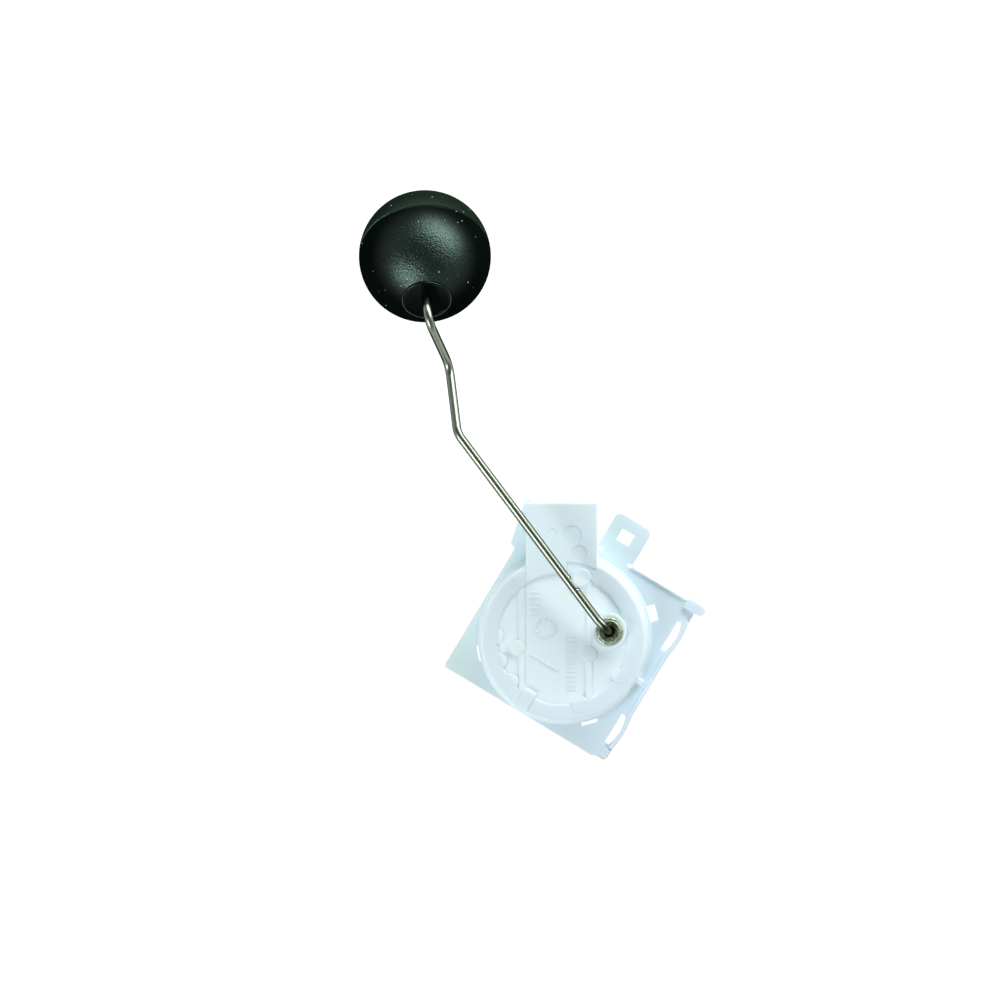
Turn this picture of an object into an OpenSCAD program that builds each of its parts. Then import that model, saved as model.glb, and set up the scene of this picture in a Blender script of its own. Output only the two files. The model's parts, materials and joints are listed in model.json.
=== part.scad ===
// Float-arm level sender: a moulded plate with a round clip-on cover, a bent wire arm that turns in a
// steel bush and carries a ball float, and a potentiometer inside that a wiper on the arm sweeps.
// Frame: origin on the pivot axis at the plate's flat back, +Z out of the plate's front,
// +X towards the spring edge, +Y towards the latch tab. The arm's rest pose is drawn.

/* [Plate] */
// Thickness of the moulded plate
plate_t = 1.6; // [1.4:0.1:2.0]
// Width of the plate from its left edge to the pivot axis
plate_left = 34.3; // [34:0.1:36]
// Depth of the plate from its bottom edge to the pivot axis
plate_bottom = 32.7; // [32.2:0.1:33.5]
// Height of the plate's top edge above the pivot axis
plate_top = 18; // [17.7:0.1:18.3]

/* [Cover] */
// Turn of the cover and its tongue against the plate, in degrees
cover_turn = 31; // [28:1:34]
// Outer radius of the cover's rim
cover_r = 22.7; // [22.4:0.1:23.0]
// Height of the cover's rim above the plate's back
rim_z = 12.5; // [12.3:0.1:13]
// Width of the terminal tongue
tongue_w = 19.6; // [19:0.2:20.4]
// Reach of the tongue's end from the cover's centre
tongue_end = 37.4; // [36.5:0.1:39]

/* [Arm] */
// Diameter of the arm wire
wire_d = 2.4; // [2.2:0.1:2.6]
// Height of the arm above the plate's back where it leaves the pivot
arm_z = 17.5; // [17:0.1:19]
// Radius of the wire's centre line in the two lower bends
bend_r = 5; // [4:0.5:6]

/* [Float] */
// Diameter of the ball
ball_d = 36.2; // [35:0.1:37]
// Wall thickness of the ball's shells
shell_t = 1.4; // [1.2:0.1:1.8]
// Radius of the glossy plug where the wire enters the ball
plug_r = 6.8; // [6.2:0.1:7.2]

/* [Potentiometer] */
// Radius of the resistor track about the pivot
resistor_r = 18; // [17.6:0.1:18.4]
// Radius of the collector track about the pivot
collector_r = 14.2; // [13.8:0.1:14.4]
// Number of silver bars under the resistor track
bars = 24; // [12:1:30]

/* [Hidden] */
$fn = 96;
eps = 0.02;             // overlap that joins touching shapes of one piece
run_fit = 0.05;         // radial running clearance round the wire
wire_r = wire_d / 2;

// Cover: everything in its own turned frame, whose centre lies off the pivot.
cover_centre = [-9.68, -8.38];
pivot_in_cover = [12.61, 2.2];
skin_t = 1.2;           // cover's top skin
recess_drop = 0.8;      // recess floor below the rim
recess_r = 18;          // recess edge, half way down its sloping wall
recess_slope = 0.3;     // half the width of the slope
recess_centre = [-0.4, -0.1];
recess_z = rim_z - recess_drop;
roof_z = recess_z - skin_t;
skirt_in_r = cover_r - 1.5;
flange_r = 24.1;
flange_top = 3.1;
step_r = 23.4;          // ring between the flange and the cup
step_top = 6.9;
mark_depth = 0.12;      // round witness marks in the tongue's face
mark_h = 0.2;           // raised ticks on the recess floor
rib_h = 0.5;            // ribs on the recess floor
rim_round = 1.1;
tongue_x0 = -10.4;      // tongue's left side
tongue_x1 = tongue_x0 + tongue_w;
tongue_wall = 1;
tongue_z = 12.7;        // tongue's face
tongue_roof = 1.3;      // thickness of the tongue's face
tongue_lip = 2.7;       // depth of the lip across its open end
collar_r = 4.9;
collar_top = 14.5;
snaps = [[15.6, 26.3], [191, 24.6], [286, 25]];   // direction and window reach of each snap

// Plate details.
spigot_r = skirt_in_r - 0.1;
spigot_t = 1.2;
spigot_top = 6;
window_in = 21.6;
window_w = 4.4;
rail_x = 17.6;          // outer face of the spring edge
rail_t = 1.2;
strip_z = 2.6;          // height of the spring strips
strips_y = [2.5, -27.5];    // where each strip's slot starts
slot_len = 9;
boss_r = 3.8;
boss_top = 3;

// Potentiometer stack.
card_z = 2.4;
card_t = 0.8;
track_t = 0.1;
track_top = card_z + card_t + track_t;
card_x0 = -9.2;
card_x1 = 5.6;
card_y0 = -13;
card_y1 = 27;
sweep = 44;             // half of the tracks' arc, a little past the wiper's travel
pads_y = 24;
terminal_xs = [-5.6, 1.6];
terminal_w = 2.8;
terminal_t = 0.8;

// Rotor stack on the wire.
hub_r = 4;
hub_z0 = 3.8;
hub_z1 = 9.3;
lever_z0 = 6.2;
lever_z1 = 7.8;
lever_len = 11.6;
lever_w = 6.4;
wiper_rest = 150;       // wiper's direction at rest, in the cover's frame
swing_min = -10;
swing_max = 70;
lug_r = 6.3;
lug_half = 12;          // half angle of the stop lug
stop_gap = 0.5;         // degrees left at each stop
leaf_t = 0.25;
leaf_w = 1.3;
finger_gap = 1.1;       // each finger's centre line off the lever's centre line
contact_gap = 0.05;

// Arm: corner points of the wire's centre line. It leaves the pivot axis and climbs to the float.
knee = [-4.6, 1.33, 18.2];      // slight kink just outside the bush
corner_a = [-63.25, 25.65, 28];
corner_b = [-75.05, 40.12, 20.6];

// Float: the ball rests on the floor beside the plate, and its axis leans out towards the arm.
ball_r = ball_d / 2;
ball_centre = [-96.2, 62.2, ball_r];
ball_azimuth = -53.5;
ball_tilt = 44.8;       // of the axis from +Z
plug_face = 17.4;
plug_back = 15.6;
stem_r = 3.4;
sleeve_r = 2.6;
sleeve_end = -3.2;
seam_w = -1;            // the seam lies a little behind the middle
seam_gap = 0.3;
corner_c = ball_centre + 24.3 * axis_of(ball_azimuth, ball_tilt);
wire_tip = ball_centre - 6.5 * axis_of(ball_azimuth, ball_tilt);
ring_w0 = -4.2;
ring_t = 0.8;

function axis_of(azimuth, tilt) = [sin(tilt) * cos(azimuth), sin(tilt) * sin(azimuth), cos(tilt)];

// Frames ------------------------------------------------------------------------------------------

// Children are drawn about the cover's centre, turned with it.
module in_cover() {
    translate([cover_centre.x, cover_centre.y, 0]) rotate([0, 0, cover_turn]) children();
}

// Children are drawn about the pivot axis, turned with the cover.
module at_pivot() {
    rotate([0, 0, cover_turn]) children();
}

// Children are drawn with the wiper along +X, turned to its rest direction.
module at_wiper() {
    rotate([0, 0, cover_turn + wiper_rest]) children();
}

// Children are drawn with the float's axis along +Z and the ball's centre at the origin.
module in_float() {
    translate(ball_centre) rotate([0, 0, ball_azimuth]) rotate([0, ball_tilt, 0]) children();
}

// Shapes ------------------------------------------------------------------------------------------

module tube(r_out, r_in, z0, z1) {
    translate([0, 0, z0]) difference() {
        cylinder(r = r_out, h = z1 - z0);
        translate([0, 0, -1]) cylinder(r = r_in, h = z1 - z0 + 2);
    }
}

module disc(r, z0, z1) {
    translate([0, 0, z0]) cylinder(r = r, h = z1 - z0);
}

module block(x0, x1, y0, y1, z0, z1) {
    translate([x0, y0, z0]) cube([x1 - x0, y1 - y0, z1 - z0]);
}

// A flat outline from z0 to z1.
module slab(points, z0, z1) {
    translate([0, 0, z0]) linear_extrude(z1 - z0) polygon(points);
}

// An arc-shaped strip of a ring, centred on a direction.
module ring_sector(r_in, r_out, direction, half, z0, z1) {
    rotate([0, 0, direction - half]) translate([0, 0, z0])
        rotate_extrude(angle = 2 * half) translate([r_in, 0]) square([r_out - r_in, z1 - z0]);
}

// Points of an arc about a centre.
function arc(centre, r, from, to, steps = 6) =
    [for (i = [0 : steps]) let (a = from + (to - from) * i / steps) centre + r * [cos(a), sin(a)]];

// A round bar between two points.
module bar(a, b, r) {
    d = b - a;
    translate(a) rotate([0, 0, atan2(d.y, d.x)]) rotate([0, acos(d.z / norm(d)), 0])
        cylinder(r = r, h = norm(d));
}

function unit(v) = v / norm(v);

// A wire runs a, b, c: how far it turns at b, and how far back a bend of radius r starts.
function turn_of(a, b, c) = acos(unit(b - a) * unit(c - b));
function cut_back(a, b, c, r) = r * tan(turn_of(a, b, c) / 2);

// The rounded corner itself. It is a hair thinner than the legs and runs a little way into them.
module bend(a, b, c, r, wire) {
    u = unit(b - a);
    n = unit(cross(u, unit(c - b)));
    inward = cross(n, u);
    centre = b - u * cut_back(a, b, c, r) + inward * r;
    into_leg = asin(0.1 / r);
    // Columns: outward at the bend's start, along the wire there, the bend's axis, its centre.
    multmatrix([for (i = [0 : 2]) [-inward[i], u[i], n[i], centre[i]]])
        rotate([0, 0, -into_leg]) rotate_extrude(angle = turn_of(a, b, c) + 2 * into_leg)
            translate([r, 0]) circle(r = wire - eps, $fn = 48);
}

// Plate -------------------------------------------------------------------------------------------

// Opening that leaves a bowed spring strip on the plate's right edge.
module spring_slot(y0) {
    translate([rail_x, y0, 0])
        slab([[-2.9, 0], [-1.5, 0], [-1.05, 2], [-0.8, 4.5], [-0.95, 6.5], [-1.3, 8], [-1.8, slot_len],
            [-2.8, slot_len]], -1, strip_z + 1);
}

// A spring strip, bowed outwards over its slot.
module spring_strip(y0) {
    translate([rail_x, y0, 0])
        slab([[-rail_t, -1], [0, -0.6], [0.35, 2], [0.55, 4.5], [0.4, 7], [0, slot_len + 1],
            [-rail_t, slot_len + 1.5]], 0, strip_z);
}

module plate_outline() {
    r = 1;
    corner = [-plate_left + r, -plate_bottom + r];
    polygon(concat(
        arc(corner, r, 180, 270),
        [[rail_x - 4.1, -plate_bottom], [rail_x - 3.2, -plate_bottom + 0.6],
            [rail_x - 0.7, -plate_bottom + 0.6], [rail_x, -plate_bottom + 1.6],
            [rail_x, plate_top - 2], [rail_x - 2.7, plate_top], [-plate_left, plate_top]]));
}

// Latch tab beyond the plate's top edge, with its window.
module latch_tab() {
    x0 = -15.1;
    x1 = -3.9;
    y0 = plate_top + 0.3;
    y1 = plate_top + 11.2;
    r = 1.8;
    difference() {
        union() {
            block(x0 + 2, x1 - 1.3, plate_top - 0.5, y0 + 0.5, 0, plate_t);
            slab(concat([[x0, y0], [x1, y0]], arc([x1 - r, y1 - r], r, 0, 90),
                arc([x0 + r, y1 - r], r, 90, 180)), 0, plate_t);
        }
        block(-11.5, -7.6, y1 - 6.9, y1 - 3.6, -1, plate_t + 1);
    }
}

// Cuts beside the tab's neck, so that the tab can flex.
module neck_cuts() {
    block(-15.1, -13.1, plate_top - 0.7, plate_top + 0.3, -1, plate_t + 1);
    block(-5.2, -3.9, plate_top - 0.7, plate_top + 0.3, -1, plate_t + 1);
}

// Round-ended lug at the top of the spring edge, and the foot at its bottom.
module corner_lug() {
    x1 = rail_x + 0.9;
    y = plate_top - 0.8;
    r = 1.5;
    block(rail_x - 3.6, x1, y - r, y + r, 0, plate_t + 1.2);
    translate([x1, y, 0]) cylinder(r = r, h = plate_t + 1.2, $fn = 48);
}

module corner_foot() {
    block(rail_x - 2.5, rail_x - 0.2, -plate_bottom + 1.5, -plate_bottom + 4, 0, plate_t + 1);
}

// One wedge tooth of the snap ring, over its window.
module snap_tooth(direction) {
    rotate([0, 0, direction]) translate([0, 1.6, 0]) rotate([90, 0, 0]) linear_extrude(3.2)
        polygon([[spigot_r - 0.3, 3.7], [spigot_r + 1, 3.7], [spigot_r + 1, 4.1],
            [spigot_r - 0.3, 5.6]]);
}

module rotor_stop(direction, side) {
    rotate([0, 0, direction]) block(4.5, 6.9, min(side * 1.6, 0), max(side * 1.6, 0), plate_t - eps, 6);
}

module base_plate() {
    color("lightcyan") difference() {
        union() {
            linear_extrude(plate_t) plate_outline();
            // Lead-in ear at the top left corner.
            slab([[-plate_left + 0.5, plate_top - 12.6], [-plate_left - 1.6, plate_top - 12],
                [-plate_left - 4.6, plate_top + 1.2], [-plate_left - 2.4, plate_top + 1.4],
                [-plate_left + 0.5, plate_top - 0.3]], 0, plate_t);
            latch_tab();
            corner_lug();
            corner_foot();
            for (y0 = strips_y) spring_strip(y0);
            // Rib between the two strips.
            block(rail_x - rail_t, rail_x, strips_y[1] + slot_len + 1, strips_y[0] - 0.5, 0, strip_z);
            // Lip along the top edge.
            block(-3.9, rail_x - 3, plate_top - 0.5, plate_top, plate_t - eps, plate_t + 0.6);
            in_cover() {
                difference() {
                    tube(spigot_r, spigot_r - spigot_t, plate_t - eps, spigot_top);
                    block(card_x0 - 0.6, tongue_x1 - 1.4, 12, 30, plate_t, spigot_top + 1);
                }
                for (snap = snaps) snap_tooth(snap[0]);
                // Rails and end stop that hold the card.
                for (x = [card_x0 - 1.1, card_x1 + 0.1])
                    block(x, x + 1, card_y0, 13, plate_t - eps, card_z + card_t + 0.5);
                for (x = [card_x0 + 0.6, card_x1 - 1.6])
                    block(x, x + 1, card_y0 + 0.5, 21, plate_t - eps, card_z);
                block(card_x0, card_x1, card_y0 - 1.1, card_y0 - 0.1, plate_t - eps, card_z + 1.3);
            }
            disc(boss_r, plate_t - eps, boss_top);
            at_pivot() {
                rotor_stop(wiper_rest + 180 + swing_min - lug_half - stop_gap, -1);
                rotor_stop(wiper_rest - 180 + swing_max + lug_half + stop_gap, 1);
            }
        }
        neck_cuts();
        for (y0 = strips_y) spring_slot(y0);
        in_cover() for (snap = snaps) rotate([0, 0, snap[0]])
            block(window_in, snap[1], -window_w / 2, window_w / 2, -1, plate_t + 1);
        // Blind pocket for the rear bush.
        disc(2.3, 0.7, boss_top + 1);
    }
}

// Cover -------------------------------------------------------------------------------------------

// Round pad on the recess edge, a little above or below the rim.
module lobe(direction, r, reach, rise) {
    rotate([0, 0, direction]) translate([reach + r, 0, 0]) disc(r, recess_z - eps, rim_z + rise);
}

// Cup with a rounded rim and a foot flange, solid all through.
module cup() {
    rotate_extrude() polygon(concat([[0, plate_t], [flange_r, plate_t],
        [flange_r, flange_top - 0.3], [flange_r - 0.3, flange_top], [step_r, flange_top],
        [step_r, step_top - 0.4], [cover_r, step_top]],
        arc([cover_r - rim_round, rim_z - rim_round], rim_round, 0, 90), [[0, rim_z]]));
}

// Room of the recess in the cup's top. Its wall slopes, and it lies a little off the cup's centre.
module recess() {
    grow = 2 * recess_slope / recess_drop;
    translate([recess_centre.x, recess_centre.y, recess_z])
        cylinder(r1 = recess_r - recess_slope, r2 = recess_r - recess_slope + grow * (recess_drop + 1),
            h = recess_drop + 1);
}

// Tongue, solid all through: its left part runs over the rim to the recess, its right part stops short.
module tongue() {
    difference() {
        block(tongue_x0, tongue_x1, 12, tongue_end, plate_t + 0.2, tongue_z);
        disc(recess_r - 2, 0, 20);
        intersection() {
            disc(21.2, 0, 20);
            block(1, 20, 0, 30, 0, 20);
        }
    }
}

// A row of short raised ticks.
module ticks(x, y, count, pitch, length) {
    for (i = [0 : count - 1])
        block(x, x + length, y - i * pitch, y - i * pitch + 0.5, recess_z - eps, recess_z + mark_h);
}

// A plain moulder's dial: a ring with ticks inside it.
module dial(x, y, r, count) {
    translate([x, y, 0]) {
        tube(r, r - 0.4, recess_z - eps, recess_z + mark_h);
        for (i = [0 : count - 1]) rotate([0, 0, i * 360 / count])
            block(r - 1.2, r - 0.2, -0.15, 0.15, recess_z - eps, recess_z + mark_h);
    }
}

// What stands up from the recess floor.
module recess_details() {
    // Ribs beside the tongue's band, chords across the recess.
    intersection() {
        union() {
            block(-12.3, -10.7, -20, 20, recess_z - eps, recess_z + rib_h);
            block(6.1, 7.7, -20, -6, recess_z - eps, recess_z + rib_h);
            block(6.1, 7.7, -2.5, 20, recess_z - eps, recess_z + mark_h);
        }
        disc(recess_r + 0.4, 0, 20);
    }
    translate([6.9, -4.2, 0]) disc(2.2, recess_z - eps, recess_z + 0.35);
    lobe(178, 2.1, 16.6, -0.15);
    lobe(199, 2.1, 16.6, -0.15);
    lobe(219, 2.2, 16.5, -0.15);
    lobe(284, 2.3, 16.2, 0.1);
    lobe(327, 2.1, 16.4, 0.1);
    lobe(73.5, 2.4, 15.3, 0.5);
    translate([-12.8, -2.3, 0]) disc(2.1, recess_z - eps, rim_z + 0.1);
    ticks(-9.2, 12.6, 5, 1.45, 2.6);
    ticks(0.7, 0.8, 13, 1.25, 2.7);
    dial(-5, 3.2, 3.1, 12);
    translate([-9.2, -3.9, 0]) rotate([0, 0, -30])
        block(0, 9.4, -0.4, 0.4, recess_z - eps, recess_z + mark_h + 0.1);
}

module front_cover() {
    open_z = tongue_z - tongue_roof;
    color("aliceblue") difference() {
        in_cover() difference() {
            union() {
                difference() {
                    union() {
                        cup();
                        tongue();
                    }
                    recess();
                }
                recess_details();
                // Bridge across the rim, and key on the flange.
                rotate([0, 0, 238]) block(16.8, cover_r - 0.1, -1.9, 1.9, recess_z - eps, rim_z + 0.5);
                rotate([0, 0, 330]) block(cover_r - 0.6, 24.9, -0.8, 0.8, plate_t, 8.2);
                // Collar for the bush.
                translate([pivot_in_cover.x, pivot_in_cover.y, 0]) disc(collar_r, roof_z, collar_top);
            }
            // Hollow of the cup, and of the tongue, which stays open below the lip at its end.
            disc(skirt_in_r, -1, roof_z);
            block(tongue_x0 + tongue_wall, tongue_x1 - tongue_wall, 14, tongue_end - 1, -1, roof_z);
            block(tongue_x0 + tongue_wall, tongue_x1 - tongue_wall, skirt_in_r + 2.6, tongue_end - 1,
                roof_z - eps, open_z);
            block(tongue_x0 + tongue_wall, tongue_x1 - tongue_wall, 30, tongue_end + 1, -1,
                tongue_z - tongue_lip);
            // Round witness marks in the tongue's face.
            for (mark = [[2.3, 28.6, 2.6], [4.2, 23.6, 2.1], [-3, 29.1, 1.2]])
                translate([mark.x, mark.y, 0]) disc(mark.z, tongue_z - mark_depth, tongue_z + 1);
            // Eyes that the plate's teeth snap into.
            for (snap = snaps)
                rotate([0, 0, snap[0]]) block(skirt_in_r - 1, cover_r + 1, -1.8, 1.8, 3.5, 5.9);
            // Bush seat.
            translate([pivot_in_cover.x, pivot_in_cover.y, 0]) disc(3.3, roof_z - 1, collar_top + 1);
        }
        // The flange is trimmed flush with the plate's bottom edge.
        block(-60, 60, -plate_bottom - 20, -plate_bottom, -1, flange_top + 0.7);
    }
}

// Bearings ----------------------------------------------------------------------------------------

module pivot_bush() {
    bore = wire_r + run_fit;
    color("gray") rotate_extrude() polygon([[bore, 9.9], [3.28, 9.9], [3.28, collar_top],
        [3.85, collar_top], [3.85, 14.8], [3.6, 15.05], [2.9, 15.05], [2.35, 14.7],
        [1.9, 13.6], [bore, 12.6]]);
}

module rear_bush() {
    color("goldenrod") tube(2.28, wire_r + run_fit, 0.7, boss_top);
}

// Potentiometer -----------------------------------------------------------------------------------

module resistor_card() {
    color("white") in_cover() difference() {
        block(card_x0, card_x1, card_y0, card_y1, card_z, card_z + card_t);
        for (x = terminal_xs) translate([x, pads_y + 1.6, 0]) disc(0.72, 0, 5);
    }
}

module track_arc(r, w, half) {
    at_pivot() ring_sector(r - w / 2, r + w / 2, 180, half, track_top - track_t, track_top);
}

module resistor_track() {
    color("black") track_arc(resistor_r, 1.5, sweep);
}

module collector_track() {
    color("silver") track_arc(collector_r, 1.3, sweep);
}

module segment_bars() {
    color("silver") at_pivot() for (i = [0 : bars - 1])
        rotate([0, 0, 180 - sweep + 2 * sweep * (i + 0.5) / bars])
            block(resistor_r + 0.75, resistor_r + 2.1, -0.22, 0.22, track_top - track_t, track_top);
}

// Printed lead up the card to its pad.
module lead(x, from_y) {
    block(x - 0.5, x + 0.5, from_y, pads_y - 1, track_top - track_t, track_top);
}

module signal_lead() {
    color("silver") in_cover() union() {
        lead(terminal_xs[0], 15.8);
        block(terminal_xs[0] - 1.4, terminal_xs[0] + 1.4, pads_y - 1 - eps, pads_y + 0.5,
            track_top - track_t, track_top);
    }
}

module ground_lead() {
    color("silver") in_cover() union() {
        lead(terminal_xs[1], 13.4);
        block(terminal_xs[1] - 1.4, terminal_xs[1] + 1.4, pads_y - 1 - eps, pads_y + 0.5,
            track_top - track_t, track_top);
    }
}

// Flat blade riveted on the card's end, with a chamfered tip.
module terminal(x) {
    w = terminal_w / 2;
    z0 = card_z + card_t;
    difference() {
        slab([[x - w, pads_y + 0.6], [x + w, pads_y + 0.6], [x + w, tongue_end - 2.6],
            [x + w - 0.7, tongue_end - 1.6], [x - w + 0.7, tongue_end - 1.6],
            [x - w, tongue_end - 2.6]], z0, z0 + terminal_t);
        translate([x, pads_y + 1.6, 0]) disc(0.72, 0, 6);
    }
}

module signal_terminal() {
    color("tan") in_cover() terminal(terminal_xs[0]);
}

module ground_terminal() {
    color("tan") in_cover() terminal(terminal_xs[1]);
}

module terminal_rivets() {
    z1 = card_z + card_t + terminal_t;
    color("silver") in_cover() for (x = terminal_xs) translate([x, pads_y + 1.6, 0]) union() {
        disc(0.7, card_z, z1 + 0.1);
        disc(1.1, z1, z1 + 0.45);
    }
}

module solder_joints() {
    color("lightgray") in_cover() for (x = terminal_xs)
        translate([x, pads_y - 0.1, track_top]) cylinder(r1 = 0.65, r2 = 0.3, h = 0.5);
}

// Arm and wiper -----------------------------------------------------------------------------------

module float_arm() {
    foot = [0, 0, 0.9];
    top = [0, 0, arm_z];
    path = [foot, top, knee, corner_a, corner_b, corner_c, wire_tip];
    radii = [0, 3, 5, bend_r, bend_r, bend_r - 0.5, 0];
    last = len(path) - 1;
    back = [for (i = [0 : last]) i == 0 || i == last ? 0
        : cut_back(path[i - 1], path[i], path[i + 1], radii[i])];
    color("silver") difference() {
        union() {
            for (i = [0 : last - 1]) let (d = unit(path[i + 1] - path[i]))
                bar(path[i] + d * back[i], path[i + 1] - d * back[i + 1], wire_r);
            for (i = [1 : last - 1]) bend(path[i - 1], path[i], path[i + 1], radii[i], wire_r);
        }
        // Witness nick in the side of the long leg.
        translate([-14.5, 7.3, 15]) cylinder(r = 1.3, h = 10, $fn = 48);
    }
}

module wiper_rotor() {
    color("ivory") at_wiper() difference() {
        union() {
            disc(hub_r, hub_z0, hub_z1);
            block(0, lever_len, -lever_w / 2, lever_w / 2, lever_z0, lever_z1);
            ring_sector(hub_r - 0.5, lug_r, 180, lug_half, 4.2, 6.1);
        }
        disc(wire_r, 0, 20);
        for (x = [6.4, 9.4]) translate([x, 0, 0]) disc(0.72, 0, 20);
    }
}

// One finger of the leaf spring, seen from the side: it slopes down to a level tip.
module finger(tip, y) {
    top = lever_z0;
    low = track_top + contact_gap + 0.65;
    translate([0, y + leaf_w / 2, 0]) rotate([90, 0, 0]) linear_extrude(leaf_w)
        polygon([[10, top], [11.4, top], [tip - 0.7, low + leaf_t], [tip + 0.7, low + leaf_t],
            [tip + 0.7, low], [tip - 0.8, low], [11.3, top - leaf_t], [10, top - leaf_t]]);
}

module wiper_spring() {
    color("peru") at_wiper() difference() {
        union() {
            block(4.6, 10.6, -2.4, 2.4, lever_z0 - leaf_t, lever_z0);
            finger(collector_r, finger_gap);
            finger(resistor_r, -finger_gap);
        }
        for (x = [6.4, 9.4]) translate([x, 0, 0]) disc(0.72, 0, 20);
        for (p = [[collector_r, finger_gap], [resistor_r, -finger_gap]])
            translate([p.x, p.y, 0]) disc(0.32, 0, 20);
    }
}

module wiper_contacts() {
    z0 = track_top + contact_gap;
    color("silver") at_wiper() for (p = [[collector_r, finger_gap], [resistor_r, -finger_gap]])
        translate([p.x, p.y, 0]) union() {
            translate([0, 0, z0]) cylinder(r1 = 0.35, r2 = 0.6, h = 0.65);
            disc(0.3, z0 + 0.6, z0 + 0.65 + leaf_t + 0.05);
            disc(0.5, z0 + 0.65 + leaf_t, z0 + 0.65 + leaf_t + 0.2);
        }
}

module wiper_rivets() {
    color("silver") at_wiper() for (x = [6.4, 9.4]) translate([x, 0, 0]) union() {
        disc(1.2, lever_z0 - leaf_t - 0.5, lever_z0 - leaf_t);
        disc(0.7, lever_z0 - leaf_t - 0.1, lever_z1 + 0.1);
        disc(1.2, lever_z1, lever_z1 + 0.45);
    }
}

module thrust_washer() {
    color("white") tube(3.3, wire_r + run_fit, hub_z1, hub_z1 + 0.5);
}

module spring_washer() {
    color("silver") rotate_extrude() polygon([[wire_r + run_fit, hub_z0 - 0.25],
        [wire_r + run_fit, hub_z0], [2.2, hub_z0], [3.4, hub_z0 - 0.4], [3.4, hub_z0 - 0.65]]);
}

// Float -------------------------------------------------------------------------------------------

module half_space(w0, w1) {
    translate([-ball_r - 5, -ball_r - 5, w0]) cube([2 * ball_r + 10, 2 * ball_r + 10, w1 - w0]);
}

module float_upper_shell() {
    color("black") in_float() difference() {
        intersection() {
            sphere(r = ball_r);
            half_space(seam_w, ball_r + 5);
        }
        difference() {
            sphere(r = ball_r - shell_t);
            disc(plug_r + 1.4, 12.6, ball_r);
        }
        // Seat of the plug, and the stem's hole.
        disc(plug_r + eps, plug_back, ball_r + 5);
        disc(stem_r + eps, 0, ball_r + 5);
        // Half of the seam groove.
        tube(ball_r + 5, ball_r - 0.35, seam_w - 1, seam_w + seam_gap);
    }
}

module float_lower_shell() {
    color("black") in_float() difference() {
        union() {
            difference() {
                intersection() {
                    sphere(r = ball_r);
                    half_space(-ball_r - 5, seam_w);
                }
                sphere(r = ball_r - shell_t);
            }
            // Socket that closes round the sleeve's end.
            intersection() {
                disc(stem_r + 1.4, -ball_r, sleeve_end + 2);
                sphere(r = ball_r - 0.5);
            }
        }
        disc(stem_r, -9.5, 5);
        tube(ball_r + 5, ball_r - 0.35, seam_w - seam_gap, seam_w + 1);
    }
}

module float_plug() {
    bore = wire_r + run_fit;
    color("black") in_float() rotate_extrude() polygon([[bore, 12], [stem_r, 12], [stem_r, plug_back],
        [plug_r, plug_back], [plug_r, plug_face - 0.3], [plug_r - 0.3, plug_face],
        [bore + 0.7, plug_face], [bore, plug_face - 0.5]]);
}

module float_sleeve() {
    color("dimgray") in_float() union() {
        tube(sleeve_r, wire_r + run_fit, sleeve_end, 12);
        tube(stem_r - eps, sleeve_r - eps, sleeve_end, sleeve_end + 1.6);
    }
}

module float_retaining_ring() {
    color("silver") in_float() tube(sleeve_r, wire_r, ring_w0, ring_w0 + ring_t);
}

base_plate();
front_cover();
pivot_bush();
rear_bush();
resistor_card();
resistor_track();
collector_track();
segment_bars();
signal_lead();
ground_lead();
signal_terminal();
ground_terminal();
terminal_rivets();
solder_joints();
float_arm();
wiper_rotor();
wiper_spring();
wiper_contacts();
wiper_rivets();
thrust_washer();
spring_washer();
float_upper_shell();
float_lower_shell();
float_plug();
float_sleeve();
float_retaining_ring();
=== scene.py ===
"""Looks of the float-arm level sender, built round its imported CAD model.

The frame's fine CAD shapes stay and get rounded edges and materials. The round pieces that show,
which are the bush, the arm wire and the float, are turned or swept again as smooth meshes.
"""

import json
import math

import bmesh
import bpy
from mathutils import Matrix, Vector


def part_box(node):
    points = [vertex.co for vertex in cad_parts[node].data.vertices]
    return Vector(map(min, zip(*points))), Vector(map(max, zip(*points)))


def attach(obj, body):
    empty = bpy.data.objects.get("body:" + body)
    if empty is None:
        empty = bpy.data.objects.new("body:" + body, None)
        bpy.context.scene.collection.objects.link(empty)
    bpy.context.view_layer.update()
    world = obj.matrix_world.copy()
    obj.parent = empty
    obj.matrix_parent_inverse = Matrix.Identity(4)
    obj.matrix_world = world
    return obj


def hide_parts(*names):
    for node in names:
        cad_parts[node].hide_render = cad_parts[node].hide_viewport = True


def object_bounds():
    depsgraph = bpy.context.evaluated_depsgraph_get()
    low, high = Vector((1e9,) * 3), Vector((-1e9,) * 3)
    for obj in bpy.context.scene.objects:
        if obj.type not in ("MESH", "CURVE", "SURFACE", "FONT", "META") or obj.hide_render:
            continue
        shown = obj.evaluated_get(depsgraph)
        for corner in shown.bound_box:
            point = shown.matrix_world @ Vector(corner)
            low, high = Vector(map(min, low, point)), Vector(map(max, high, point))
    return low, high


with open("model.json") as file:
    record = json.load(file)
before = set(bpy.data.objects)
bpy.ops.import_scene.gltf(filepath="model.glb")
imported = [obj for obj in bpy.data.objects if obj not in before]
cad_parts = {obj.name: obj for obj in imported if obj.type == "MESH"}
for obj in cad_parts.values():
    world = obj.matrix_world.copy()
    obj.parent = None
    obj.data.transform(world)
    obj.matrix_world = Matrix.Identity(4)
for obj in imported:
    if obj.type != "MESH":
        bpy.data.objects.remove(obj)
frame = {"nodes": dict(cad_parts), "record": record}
CAD_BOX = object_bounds()
MM = 0.001

# ------------------------------------------------------------------ view, lights and floor

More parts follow.
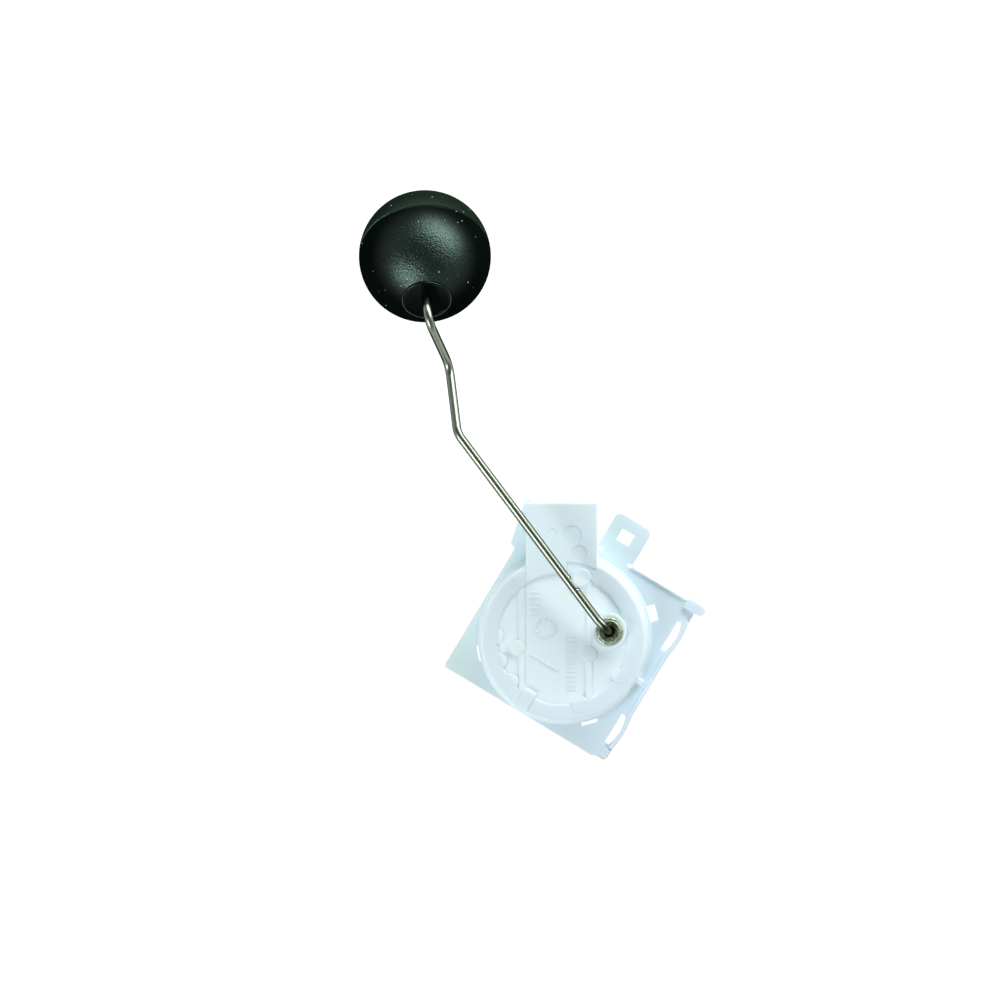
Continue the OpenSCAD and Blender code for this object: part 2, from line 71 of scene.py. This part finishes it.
# The view's right and up in the row frame, and the camera's lean towards its right and top.
TURN = math.radians(31)
RIGHT = Vector((math.cos(TURN), math.sin(TURN), 0))
UP = Vector((-math.sin(TURN), math.cos(TURN), 0))
LEAN_RIGHT = math.radians(2.5)
LEAN_UP = math.radians(1.5)
VIEW_WIDTH = 274.3 * MM
VIEW_HEIGHT_Z = 15 * MM
LENS = 200
SENSOR = 36
LIGHT_DISTANCE = 0.8
FLOOR_HALF = 3.0
FLOOR_GAP = 0.05 * MM
# Centre of the view, measured from the pivot along RIGHT and UP.
VIEW_CENTRE = (-30.0 * MM, 36.1 * MM)


def make_camera():
    """A long lens that looks nearly straight down on the plate."""
    data = bpy.data.cameras.new("camera")
    data.lens = LENS
    data.sensor_width = SENSOR
    data.clip_end = 10
    camera = bpy.data.objects.new("camera", data)
    bpy.context.collection.objects.link(camera)
    target = RIGHT * VIEW_CENTRE[0] + UP * VIEW_CENTRE[1] + Vector((0, 0, VIEW_HEIGHT_Z))
    distance = VIEW_WIDTH / 2 / (SENSOR / 2 / LENS)
    back = Vector((0, 0, 1)) + RIGHT * math.tan(LEAN_RIGHT) + UP * math.tan(LEAN_UP)
    back.normalize()
    right = UP.cross(back).normalized()
    turned = Matrix((right, back.cross(right), back)).transposed().to_4x4()
    camera.matrix_world = Matrix.Translation(target + back * distance) @ turned
    bpy.context.scene.camera = camera


def softbox(name, towards, width, height, power):
    """An area light at LIGHT_DISTANCE, where `towards` is given along RIGHT, UP and +Z."""
    data = bpy.data.lights.new(name, "AREA")
    data.shape = "RECTANGLE"
    data.size = width
    data.size_y = height
    data.energy = power
    light = bpy.data.objects.new(name, data)
    bpy.context.collection.objects.link(light)
    middle = (CAD_BOX[0] + CAD_BOX[1]) / 2
    way = (RIGHT * towards[0] + UP * towards[1] + Vector((0, 0, towards[2]))).normalized()
    light.location = middle + way * LIGHT_DISTANCE
    light.rotation_euler = (-way).to_track_quat("-Z", "Y").to_euler()


def make_studio():
    """Two softboxes, and a room that is pale at the horizon and dark overhead."""
    world = bpy.data.worlds.new("studio")
    bpy.context.scene.world = world
    world.use_nodes = True
    tree = world.node_tree
    direction = tree.nodes.new("ShaderNodeTexCoord").outputs["Generated"]
    parts = tree.nodes.new("ShaderNodeSeparateXYZ")
    tree.links.new(direction, parts.inputs[0])
    ramp = tree.nodes.new("ShaderNodeValToRGB")
    tree.links.new(parts.outputs["Z"], ramp.inputs["Fac"])
    for element, (height, grey) in zip(ramp.color_ramp.elements, ((0.42, 0.38), (0.82, 0.07))):
        element.position = height
        element.color = (grey, grey, grey, 1)
    tree.links.new(ramp.outputs["Color"], tree.nodes["Background"].inputs["Color"])
    softbox("softbox_back", (0.51, 0.73, 0.47), 1.0, 0.4, 7.0)
    softbox("softbox_front", (-0.52, -0.56, 0.66), 0.5, 0.35, 3.2)
    bpy.context.scene.view_settings.view_transform = "Standard"


def make_floor():
    """A light table: a white floor that glows, just under the part."""
    mesh = bpy.data.meshes.new("floor")
    z = CAD_BOX[0].z - FLOOR_GAP
    mesh.from_pydata([(x * FLOOR_HALF, y * FLOOR_HALF, z) for x, y in ((-1, -1), (1, -1), (1, 1), (-1, 1))],
                     [], [(0, 1, 2, 3)])
    floor = bpy.data.objects.new("floor", mesh)
    bpy.context.collection.objects.link(floor)
    shader = Shader("light_table")
    shader.set("Base Color", (0.3, 0.3, 0.3, 1))
    shader.set("Emission Color", (1, 1, 1, 1))
    shader.set("Emission Strength", 0.95)
    shader.set("Roughness", 0.9)
    shader.set("Specular IOR Level", 0.1)
    mesh.materials.append(shader.material)


# ------------------------------------------------------------------ material building blocks


class Shader:
    """A material of one Principled node, with short calls that add patterns to it.

    Patterns lie in the row frame, in millimetres, so their scale is the real one.
    """

    def __init__(self, name):
        self.material = bpy.data.materials.new(name)
        self.material.use_nodes = True
        self.tree = self.material.node_tree
        self.bsdf = self.tree.nodes["Principled BSDF"]
        self._place = None
        self._normal = None

    def node(self, kind, **settings):
        made = self.tree.nodes.new(kind)
        for key, value in settings.items():
            setattr(made, key, value)
        return made

    def put(self, value, socket):
        """Sets a socket to a number or colour, or links another node's output to it."""
        if isinstance(value, bpy.types.NodeSocket):
            self.tree.links.new(value, socket)
        else:
            socket.default_value = value

    def set(self, name, value):
        self.put(value, self.bsdf.inputs[name])

    def place(self, stretch=(1, 1, 1)):
        """Position in millimetres, stretched along the axes."""
        if self._place is None:
            self._place = self.node("ShaderNodeTexCoord").outputs["Object"]
        scale = self.node("ShaderNodeMapping")
        self.put(self._place, scale.inputs["Vector"])
        self.put(tuple(1 / MM / s for s in stretch), scale.inputs["Scale"])
        return scale.outputs["Vector"]

    def noise(self, size, detail=2, roughness=0.5, where=None):
        """Soft noise whose lumps are `size` millimetres across."""
        made = self.node("ShaderNodeTexNoise")
        self.put(where if where is not None else self.place(), made.inputs["Vector"])
        self.put(1 / size, made.inputs["Scale"])
        self.put(detail, made.inputs["Detail"])
        self.put(roughness, made.inputs["Roughness"])
        return made.outputs["Fac"]

    def specks(self, spacing, radius):
        """1 in round specks and 0 between them, in millimetres."""
        cells = self.node("ShaderNodeTexVoronoi")
        self.put(self.place(), cells.inputs["Vector"])
        self.put(1 / spacing, cells.inputs["Scale"])
        return self.steps(cells.outputs["Distance"], (0, 1), (radius / spacing, 0))

    def steps(self, value, *stops):
        """Maps a value through (position, grey) stops."""
        ramp = self.node("ShaderNodeValToRGB")
        self.put(value, ramp.inputs["Fac"])
        elements = ramp.color_ramp.elements
        while len(elements) < len(stops):
            elements.new(0.5)
        for element, (position, grey) in zip(elements, stops):
            element.position = position
            element.color = (grey, grey, grey, 1)
        return ramp.outputs["Color"]

    def mix(self, factor, a, b):
        """Blends colour a to colour b."""
        made = self.node("ShaderNodeMix", data_type="RGBA")
        self.put(factor, made.inputs["Factor"])
        self.put(a, made.inputs["A"])
        self.put(b, made.inputs["B"])
        return made.outputs["Result"]

    def math(self, operation, a, b=0.0, c=0.0):
        made = self.node("ShaderNodeMath", operation=operation)
        for value, socket in zip((a, b, c), made.inputs):
            self.put(value, socket)
        return made.outputs[0]

    def spread(self, value, low, high):
        """Maps 0..1 to low..high."""
        return self.math("MULTIPLY_ADD", value, high - low, low)

    def round_edges(self, radius):
        """Shades edges as if rounded to this radius, under any bump."""
        made = self.node("ShaderNodeBevel", samples=4)
        self.put(radius * MM, made.inputs["Radius"])
        self._normal = made.outputs["Normal"]
        self.set("Normal", self._normal)

    def bump(self, height, depth):
        """Adds relief whose full height is `depth` millimetres."""
        made = self.node("ShaderNodeBump")
        self.put(height, made.inputs["Height"])
        self.put(depth * MM, made.inputs["Distance"])
        if self._normal is not None:
            self.put(self._normal, made.inputs["Normal"])
        self._normal = made.outputs["Normal"]
        self.set("Normal", self._normal)

    def off_axis(self, origin=Vector(), axis=Vector((0, 0, 1))):
        """Distance from a line, in millimetres."""
        away = self.node("ShaderNodeVectorMath", operation="SUBTRACT")
        self.put(self.place(), away.inputs[0])
        self.put(tuple(origin), away.inputs[1])
        cross = self.node("ShaderNodeVectorMath", operation="CROSS_PRODUCT")
        self.put(away.outputs[0], cross.inputs[0])
        self.put(tuple(axis), cross.inputs[1])
        length = self.node("ShaderNodeVectorMath", operation="LENGTH")
        self.put(cross.outputs[0], length.inputs[0])
        return length.outputs["Value"]

    def rings(self, radius, pitch):
        """Turning marks: noise that depends on the distance from the axis alone."""
        joined = self.node("ShaderNodeCombineXYZ")
        self.put(radius, joined.inputs["X"])
        return self.noise(pitch, 3, 0.6, joined.outputs[0])

    def facing(self, start, end):
        """0 where the surface faces the eye, up to 1 where it turns away."""
        weight = self.node("ShaderNodeLayerWeight")
        self.put(0.5, weight.inputs["Blend"])
        return self.ramp(weight.outputs["Facing"], start, end)

    def ramp(self, value, start, end):
        """0 below `start` and 1 above `end`."""
        made = self.node("ShaderNodeMapRange", interpolation_type="SMOOTHSTEP")
        self.put(value, made.inputs["Value"])
        self.put(start, made.inputs["From Min"])
        self.put(end, made.inputs["From Max"])
        return made.outputs[0]


# ------------------------------------------------------------------ sizes and tints that are shared

# The cover's centre, and the radius within which its roof is thin and its colour is painted paler as
# painted light, in millimetres.
COVER_CENTRE = Vector((-9.68, -8.38, 0))
COVER_PAINTED_LIGHT_R = 17.8

# Float: heights are along its axis from the ball's centre, in millimetres.
FLOAT_JOINT = next(j for j in frame["record"]["behaviour"]["joints"] if j["name"] == "float_spin")
BALL_CENTRE = Vector(FLOAT_JOINT["pos_m"])
FLOAT_AXIS = Vector(FLOAT_JOINT["axis"])
BALL_R = BALL_CENTRE.z / MM
SHELL_T = 1.4
SEAM = -1
SEAM_GAP = 0.24
SEAM_DEPTH = 0.35
PLUG_R = 6.8
PLUG_FACE = 17.4
PLUG_BACK = 15.6
STEM_R = 3.4
STEM_END = 12

# Reflections on the black plastics are greenish.
BLACK_SHEEN = (0.62, 1.0, 0.84, 1)
# Tint of the painted glow that the milky plastics give off.
PAINTED_GLOW_TINT = (0.62, 0.88, 1.0, 1)
# Painted shade on the wire where it goes down into the bush.
PAINTED_BUSH_SHADE = (0.06, 0.075, 0.055, 1)

# ------------------------------------------------------------------ materials


def milky_plastic(name, left_tint, right_tint, cloud_tint, gloss, painted_glow, painted_light_r=0):
    """Unfilled moulded plastic: light goes a millimetre deep, and the tint drifts across it.

    `painted_glow` is a painted glow: emission that stands in for the light a milky body passes on
    from all round it. Within `painted_light_r` of the cover's centre, where the roof is thin, the
    colour is painted paler as painted light.
    """
    s = Shader(name)
    parts = s.node("ShaderNodeSeparateXYZ")
    s.put(s.place(), parts.inputs[0])
    across = s.math("MULTIPLY_ADD", parts.outputs["X"], 1 / 60, 0.62)
    drift = s.mix(s.math("ADD", across, s.spread(s.noise(26, 1), -0.35, 0.35)), left_tint, right_tint)
    colour = s.mix(s.steps(s.noise(19, 2), (0.5, 0), (0.72, 0.8)), drift, cloud_tint)
    if painted_light_r:
        # Painted light: inside this radius the colour is mixed towards a pale tint, standing in for light
        # that comes through the thin roof.
        outside_painted_light = s.ramp(s.off_axis(COVER_CENTRE), painted_light_r - 0.6, painted_light_r + 0.6)
        colour = s.mix(s.spread(outside_painted_light, 0.4, 0), colour, (0.90, 0.98, 1.0, 1))
    s.set("Base Color", colour)
    s.set("Subsurface Weight", 0.75)
    s.set("Subsurface Radius", (1.2, 1.0, 0.8))
    s.set("Subsurface Scale", 1.0 * MM)
    # Painted glow: the plastic emits light of its own, standing in for light that comes through it from the
    # light table.
    s.set("Emission Color", PAINTED_GLOW_TINT)
    s.set("Emission Strength", painted_glow)
    s.set("IOR", 1.45)
    s.set("Specular IOR Level", 0.3)
    s.set("Roughness", s.spread(s.noise(3.5, 3), gloss, gloss + 0.16))
    s.round_edges(0.5)
    s.bump(s.noise(7, 1), 0.05)
    s.bump(s.noise(0.25, 2), 0.003)
    return s.material


def cover_plastic():
    return milky_plastic("cover_plastic", (0.72, 0.83, 0.86, 1), (0.72, 0.83, 0.90, 1),
                         (0.74, 0.84, 0.90, 1), 0.38, 0.12, COVER_PAINTED_LIGHT_R)


def plate_plastic():
    return milky_plastic("plate_plastic", (0.75, 0.88, 0.90, 1), (0.73, 0.84, 0.93, 1),
                         (0.75, 0.85, 0.93, 1), 0.38, 0.06)


def drawn_wire():
    """Stainless spring wire with fine draw lines along it, with painted shade near the bush axis and along
    its rims.
    """
    s = Shader("drawn_wire")
    along = s.node("ShaderNodeUVMap").outputs["UV"]
    lines = s.node("ShaderNodeMapping")
    s.put(along, lines.inputs["Vector"])
    s.put((60, 0.02, 1), lines.inputs["Scale"])
    streaks = s.noise(1, 3, 0.6, lines.outputs["Vector"])
    s.set("Metallic", 1)
    bright = s.mix(s.noise(5, 3), (0.28, 0.34, 0.26, 1), (0.40, 0.46, 0.37, 1))
    # Painted shade: the colour darkens towards the rims as they turn away from the eye.
    steel_with_painted_rim_shade = s.mix(s.facing(0.28, 0.52), bright, (0.06, 0.07, 0.055, 1))
    # Painted shade: within 1.7 to 3.4 mm of the pivot axis the wire is coloured dark.
    s.set("Base Color", s.mix(s.ramp(s.off_axis(), 1.7, 3.4), PAINTED_BUSH_SHADE, steel_with_painted_rim_shade))
    # The low edge tint darkens the rims' reflections too, as painted shade.
    s.set("Specular Tint", (0.1, 0.12, 0.1, 1))
    s.set("Roughness", s.spread(streaks, 0.24, 0.36))
    s.bump(streaks, 0.006)
    return s.material


def bush_steel():
    """Turned and plated steel, greenish, with painted shade that colours its bore near black."""
    s = Shader("bush_steel")
    radius = s.off_axis()
    s.set("Metallic", 1)
    blotches = s.steps(s.noise(0.7, 3), (0.35, 0), (0.65, 1))
    plated = s.mix(blotches, (0.24, 0.34, 0.22, 1), (0.72, 0.84, 0.68, 1))
    # Painted shade: within 1.15 to 1.5 mm of the axis the colour goes near black.
    s.set("Base Color", s.mix(s.ramp(radius, 1.15, 1.5), (0.012, 0.016, 0.012, 1), plated))
    s.set("Roughness", s.spread(s.noise(0.5, 2), 0.4, 0.6))
    s.bump(s.rings(radius, 0.14), 0.03)
    s.bump(s.noise(0.4, 3), 0.04)
    return s.material


def grained_float(name, colour, gloss, hiding):
    """Black moulded float skin: a fine spark-eroded grain with a few specks of dust.

    The grain hides what a smooth skin would mirror at a flat angle, the more so with a high `hiding`.
    """
    s = Shader(name)
    dust = s.math("MULTIPLY", s.specks(2.6, 0.27), s.steps(s.noise(6, 1), (0.50, 0), (0.56, 1)))
    s.set("Base Color", s.mix(dust, colour, (0.8, 0.86, 0.82, 1)))
    s.set("Roughness", s.spread(s.noise(0.5, 2), gloss, gloss + 0.12))
    s.set("Specular IOR Level", 0.85)
    s.set("Specular Tint", BLACK_SHEEN)
    flat = s.math("POWER", s.spread(s.facing(0.03, 0.9), 1, 0), hiding)
    s.set("IOR", s.spread(flat, 1, 1.62))
    s.bump(s.noise(0.5, 2, 0.6), 0.16)
    return s.material


def glossy_plug():
    """Black plug: a dull face inside a polished rim."""
    s = Shader("plug_plastic")
    s.set("Base Color", s.mix(s.noise(4, 3), (0.001, 0.002, 0.001, 1), (0.003, 0.004, 0.003, 1)))
    rim = s.ramp(s.off_axis(BALL_CENTRE / MM, FLOAT_AXIS), PLUG_R - 0.35, PLUG_R - 0.2)
    s.set("Specular IOR Level", s.spread(rim, 0.05, 0.4))
    s.set("Specular Tint", BLACK_SHEEN)
    s.set("Roughness", s.spread(s.noise(1.5, 3), 0.12, 0.22))
    s.set("IOR", 1.55)
    s.bump(s.noise(3, 1), 0.02)
    return s.material


def metal(name, dark, light, gloss, size=1.5, relief=0.006):
    """A small metal piece, mottled between two shades."""
    s = Shader(name)
    s.set("Metallic", 1)
    s.set("Base Color", s.mix(s.noise(size, 4), dark, light))
    s.set("Roughness", s.spread(s.noise(size * 0.6, 3), gloss, gloss + 0.2))
    s.bump(s.noise(size * 0.2, 3), relief)
    return s.material


def matt(name, dark, light, rough, size=1.5, relief=0.01):
    """A small non-metal piece, mottled between two shades."""
    s = Shader(name)
    s.set("Base Color", s.mix(s.noise(size, 4), dark, light))
    s.set("Roughness", s.spread(s.noise(size * 0.6, 3), rough, rough + 0.15))
    s.bump(s.noise(size * 0.2, 3), relief)
    return s.material


def make_materials():
    """One material for each of the record's material slots."""
    return {
        "plate_plastic": plate_plastic(),
        "cover_plastic": cover_plastic(),
        "bush_steel": bush_steel(),
        "bearing_brass": metal("bearing_brass", (0.55, 0.36, 0.13, 1), (0.72, 0.52, 0.22, 1), 0.25),
        "card_ceramic": matt("card_ceramic", (0.74, 0.73, 0.68, 1), (0.84, 0.83, 0.80, 1), 0.5),
        "track_carbon": matt("track_carbon", (0.010, 0.010, 0.011, 1), (0.022, 0.022, 0.024, 1), 0.55, 0.6),
        "print_silver": metal("print_silver", (0.55, 0.55, 0.53, 1), (0.78, 0.78, 0.76, 1), 0.38, 0.5),
        "terminal_brass": metal("terminal_brass", (0.60, 0.57, 0.50, 1), (0.78, 0.76, 0.70, 1), 0.22),
        "rivet_steel": metal("rivet_steel", (0.45, 0.46, 0.46, 1), (0.62, 0.62, 0.61, 1), 0.25, 0.7),
        "solder": metal("solder", (0.50, 0.51, 0.52, 1), (0.70, 0.71, 0.72, 1), 0.18, 0.4),
        "wire_steel": drawn_wire(),
        "rotor_plastic": matt("rotor_plastic", (0.72, 0.73, 0.68, 1), (0.80, 0.80, 0.76, 1), 0.4, 3),
        "spring_bronze": metal("spring_bronze", (0.50, 0.28, 0.14, 1), (0.68, 0.42, 0.24, 1), 0.22),
        "contact_silver": metal("contact_silver", (0.70, 0.69, 0.66, 1), (0.86, 0.85, 0.83, 1), 0.15, 0.4),
        "washer_plastic": matt("washer_plastic", (0.74, 0.74, 0.72, 1), (0.82, 0.82, 0.80, 1), 0.35, 2),
        "float_plastic": grained_float("float_plastic", (0.0022, 0.0045, 0.0030, 1), 0.24, 7),
        "plug_plastic": glossy_plug(),
    }


# ------------------------------------------------------------------ CAD nodes that stay

# Rounding of each node's edges, in millimetres; the small inner pieces take the last value.
EDGE_ROUNDING = {"base_plate": 0.18, "front_cover": 0.16}
SMALL_ROUNDING = 0.06
SHARP = math.radians(32)


def soften(obj, width):
    """Joins the mesh's split corners, then rounds its sharp edges. The mesh itself stays as it is."""
    weld = obj.modifiers.new("weld", "WELD")
    weld.merge_threshold = 0.0005 * MM
    flat = obj.modifiers.new("flat", "DECIMATE")
    flat.decimate_type = "DISSOLVE"
    flat.angle_limit = math.radians(0.4)
    bevel = obj.modifiers.new("bevel", "BEVEL")
    bevel.width = width * MM
    bevel.segments = 2
    bevel.limit_method = "ANGLE"
    bevel.angle_limit = SHARP
    bevel.use_clamp_overlap = True
    bevel.harden_normals = False
    smooth = obj.modifiers.new("normals", "WEIGHTED_NORMAL")
    smooth.keep_sharp = False


def dress_cad_nodes(materials):
    slot_of = {row["node"]: row["material_slot"] for row in frame["record"]["subparts"]}
    for name, obj in frame["nodes"].items():
        obj.data.materials.clear()
        obj.data.materials.append(materials[slot_of[name]])
        soften(obj, EDGE_ROUNDING.get(name, SMALL_ROUNDING))


# ------------------------------------------------------------------ turned and swept pieces


def add_piece(name, made, material, body, slot, *nodes):
    """Makes a bmesh into a piece that rides on a body and stands for CAD nodes."""
    bmesh.ops.recalc_face_normals(made, faces=made.faces)
    mesh = bpy.data.meshes.new(name)
    made.to_mesh(mesh)
    made.free()
    mesh.shade_smooth()
    mesh.set_sharp_from_angle(angle=SHARP)
    mesh.materials.append(material)
    piece = bpy.data.objects.new(name, mesh)
    bpy.context.collection.objects.link(piece)
    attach(piece, body)
    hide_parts(*nodes)


def rounded(corners, steps=4):
    """Rounds a profile's corners, each given as (radius, height, rounding) in millimetres."""
    points = []
    for i, (r, h, rounding) in enumerate(corners):
        here = Vector((r, h))
        if rounding == 0:
            points.append(here)
            continue
        before = (Vector(corners[i - 1][:2]) - here).normalized()
        after = (Vector(corners[(i + 1) % len(corners)][:2]) - here).normalized()
        for k in range(steps + 1):
            t = k / steps
            start = here + before * rounding * (1 - t)
            end = here + after * rounding * t
            points.append(start * (1 - t) + end * t)
    return points


def sphere_arc(radius, start, end, steps):
    """Points of a sphere's outline between two heights."""
    low, high = (math.asin(h / radius) for h in (start, end))
    angles = [low + (high - low) * k / steps for k in range(steps + 1)]
    return [(radius * math.cos(a), radius * math.sin(a), 0) for a in angles]


def turned(profile, origin=Vector(), axis=Vector((0, 0, 1)), steps=128):
    """A solid of revolution of (radius, height) points, in millimetres up the axis.

    A profile that starts on the axis also ends there, and any other one closes on itself.
    """
    made = bmesh.new()
    lay = Matrix.Translation(origin) @ axis.to_track_quat("Z", "Y").to_matrix().to_4x4()
    rings = []
    for radius, height in profile:
        count = steps if radius > 0 else 1
        turns = [2 * math.pi * k / steps for k in range(count)]
        points = [Vector((radius * math.cos(a), radius * math.sin(a), height)) for a in turns]
        rings.append([made.verts.new(lay @ (point * MM)) for point in points])
    pairs = list(zip(rings, rings[1:]))
    if len(rings[0]) > 1:
        pairs.append((rings[-1], rings[0]))
    for low, high in pairs:
        for k in range(steps):
            n = (k + 1) % steps
            below = [low[k], low[n]] if len(low) > 1 else low
            above = [high[n], high[k]] if len(high) > 1 else high
            made.faces.new(below + above)
    return made


def make_bush(materials):
    """The pivot bush: a flange with a turned groove, and a mouth that opens round the wire."""
    bore = WIRE_R + RUN_FIT
    low, top = (corner.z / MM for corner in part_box("pivot_bush"))
    flange = 3.85
    body = 3.28
    profile = rounded([(bore, low, 0), (body, low, 0.1), (body, top - 0.55, 0), (flange, top - 0.55, 0.08),
                       (flange, top - 0.15, 0.25), (3.42, top, 0.12), (3.2, top - 0.2, 0.1),
                       (2.98, top - 0.02, 0.1), (2.62, top - 0.02, 0.14), (2.36, top - 0.45, 0.1),
                       (1.5, top - 1.15, 0.2), (bore, top - 2.7, 0)])
    add_piece("pivot_bush_turned", turned(profile, steps=160), materials["bush_steel"], "root",
              "bush_steel", "pivot_bush")


def make_float(materials):
    """The ball: two hollow halves that meet in a V at the seam, and the plug round the wire."""
    outer = BALL_R - 0.02
    inner = BALL_R - SHELL_T
    groove = BALL_R - SEAM_DEPTH
    seam_top = SEAM + SEAM_GAP
    seam_low = SEAM - SEAM_GAP
    flare = 0.12        # the seam's groove opens this much before the ball's surface

    # Upper half, with the seat of the plug and the boss under it.
    seat = math.sqrt(outer ** 2 - PLUG_R ** 2)
    boss_r = PLUG_R + SHELL_T
    boss_low = 12.6
    boss_top = math.sqrt(inner ** 2 - boss_r ** 2)
    upper = rounded(
        [(groove, SEAM, 0), (groove, seam_top, 0)] + sphere_arc(outer, seam_top + flare, seat, 60)
        + [(PLUG_R, seat - 0.3, 0), (PLUG_R, PLUG_BACK, 0), (STEM_R, PLUG_BACK, 0),
           (STEM_R, boss_low, 0), (boss_r, boss_low, 0)] + sphere_arc(inner, boss_top, SEAM, 20))

    # Lower half, with the mark of the moulding gate and the socket of the sleeve.
    gate_r = 1.5
    gate_h = math.sqrt(outer ** 2 - (gate_r + 0.2) ** 2)
    gate_floor = -gate_h + 0.45
    gate_tip = -gate_h + 0.1
    socket_r = STEM_R + SHELL_T
    socket_low = -math.sqrt(inner ** 2 - socket_r ** 2)
    socket_top = -1.2
    socket_floor = -9.5
    lower = rounded(
        [(0, gate_tip, 0), (0.45, gate_tip, 0), (0.55, gate_floor, 0), (gate_r, gate_floor, 0)]
        + sphere_arc(outer, -gate_h, seam_low - flare, 60)
        + [(groove, seam_low, 0), (groove, SEAM, 0)] + sphere_arc(inner, SEAM, socket_low, 30)
        + [(socket_r, socket_top, 0), (STEM_R, socket_top, 0), (STEM_R, socket_floor, 0),
           (0, socket_floor, 0)])

    # Plug: a sunk face inside a raised rim.
    bore = WIRE_R + RUN_FIT
    stem = STEM_R - 0.02
    rim = PLUG_R - 0.08
    plug = rounded([(bore, STEM_END, 0), (stem, STEM_END, 0), (stem, PLUG_BACK, 0),
                    (rim, PLUG_BACK, 0), (rim, PLUG_FACE - 0.05, 0.28), (rim - 0.55, PLUG_FACE, 0.2),
                    (rim - 0.75, PLUG_FACE - 0.22, 0.1), (bore + 1.1, PLUG_FACE - 0.3, 0.3),
                    (bore + 0.2, PLUG_FACE - 0.3, 0.1), (bore, PLUG_FACE - 0.5, 0)])

    # Painted light: the far half wears a lighter, greener copy of the float skin, standing in for the back
    # light that falls on it.
    painted_lit_far_skin = grained_float("float_plastic_far_painted_lit", (0.009, 0.019, 0.013, 1), 0.32, 3)
    for name, profile, material, slot, node in (
            ("float_upper_half", upper, materials["float_plastic"], "float_plastic", "float_upper_shell"),
            ("float_lower_half", lower, painted_lit_far_skin, "float_plastic", "float_lower_shell"),
            ("float_end_plug", plug, materials["plug_plastic"], "plug_plastic", "float_plug")):
        add_piece(name, turned(profile, BALL_CENTRE, FLOAT_AXIS), material, "float", slot, node)


# Wire: the corner points of its centre line as the CAD has them, in millimetres.
WIRE_R = 1.2
RUN_FIT = 0.05
WIRE_CORNERS = [(0, 0, 0.9), (0, 0, 17.5), (-4.6, 1.33, 18.2), (-63.25, 25.65, 28),
                (-75.05, 40.12, 20.6)]
WIRE_BENDS = [3, 5, 5, 5, 4.5]
# The last corner and the tip, along the float's axis from the ball's centre.
LAST_CORNER = 24.3
WIRE_TIP = -6.5
# The nick in the long leg: its middle lies this far from the kink by the bush.
NICK_AT = 11.9
NICK_HALF = 1.9
NICK_DEPTH = 0.72
# The nick and its burrs lie within this reach of its middle.
NICK_REACH = 2.9


def smooth(t):
    """Eases from 0 to 1 as t goes from 0 to 1."""
    t = min(max(t, 0), 1)
    return t * t * (3 - 2 * t)


def bend_points(a, b, c, radius, steps=16):
    """Points of the arc that rounds corner b of the line a, b, c."""
    into = (b - a).normalized()
    out = (c - b).normalized()
    turn = into.angle(out)
    reach = radius * math.tan(turn / 2)
    axis = into.cross(out).normalized()
    centre = b - into * reach + axis.cross(into) * radius
    arm = b - into * reach - centre
    return [centre + Matrix.Rotation(turn * k / steps, 3, axis) @ arm for k in range(steps + 1)]


def nick_height(x):
    """Height of the wire's side at distance x from the nick's middle: cut in, with a burr at each end."""
    cut = NICK_DEPTH * smooth((NICK_HALF - x) / 1.5) * smooth((x + NICK_HALF) / 0.5)
    near_burr = 0.10 * smooth(1 - abs(x + NICK_HALF + 0.2) / 0.4)
    far_burr = 0.08 * smooth(1 - abs(x - NICK_HALF - 0.3) / 0.6)
    return near_burr + far_burr - cut


def wire_path():
    """Points of the wire's centre line, with the nick's place in it."""
    centre = BALL_CENTRE / MM
    corners = [Vector(c) for c in WIRE_CORNERS]
    corners += [centre + FLOAT_AXIS * h for h in (LAST_CORNER, WIRE_TIP)]
    points = [corners[0]]
    for a, b, c, radius in zip(corners, corners[1:], corners[2:], WIRE_BENDS):
        points += bend_points(a, b, c, radius)
        if b == corners[2]:
            along = (c - b).normalized()
            nick = b + along * NICK_AT
            points += [nick + along * (0.1 * k) for k in range(-28, 29)]
    points.append(corners[-1])
    return points, nick, along


def make_wire(materials, sides=48):
    """Sweeps a circle along the wire's path, and cuts the nick into the side of its long leg."""
    points, nick, along = wire_path()
    side = along.cross(Vector((0, 0, 1))).normalized()
    made = bmesh.new()
    uv = made.loops.layers.uv.new("UVMap")
    tangents = [(after - before).normalized()
                for before, after in zip(points[:1] + points[:-1], points[1:] + points[-1:])]
    across = tangents[0].orthogonal().normalized()
    rings = []
    lengths = [0]
    for i, (point, tangent) in enumerate(zip(points, tangents)):
        if i:
            across = (tangents[i - 1].rotation_difference(tangent) @ across).normalized()
            lengths.append(lengths[-1] + (point - points[i - 1]).length)
        other = tangent.cross(across)
        x = (point - nick).dot(along)
        in_nick = (point - nick).length < NICK_REACH
        ring = []
        for k in range(sides):
            a = 2 * math.pi * k / sides
            offset = (across * math.cos(a) + other * math.sin(a)) * WIRE_R
            if in_nick:
                height = offset.dot(side)
                lift = nick_height(x)
                if lift < 0:
                    wanted = min(height, WIRE_R + lift)
                else:
                    wanted = height + lift * smooth(height / WIRE_R)
                offset += side * (wanted - height)
            ring.append(made.verts.new((point + offset) * MM))
        rings.append(ring)
    for i, (low, high) in enumerate(zip(rings, rings[1:])):
        for k in range(sides):
            n = (k + 1) % sides
            face = made.faces.new([low[k], low[n], high[n], high[k]])
            for loop, (u, v) in zip(face.loops, ((k, i), (k + 1, i), (k + 1, i + 1), (k, i + 1))):
                loop[uv].uv = (u / sides, lengths[v])
    for ring in (rings[0], rings[-1]):
        made.faces.new(ring)
    add_piece("arm_wire", made, materials["wire_steel"], "arm", "wire_steel", "float_arm")


# ------------------------------------------------------------------ main

make_camera()
make_studio()
make_floor()
materials = make_materials()
dress_cad_nodes(materials)
make_bush(materials)
make_float(materials)
make_wire(materials)
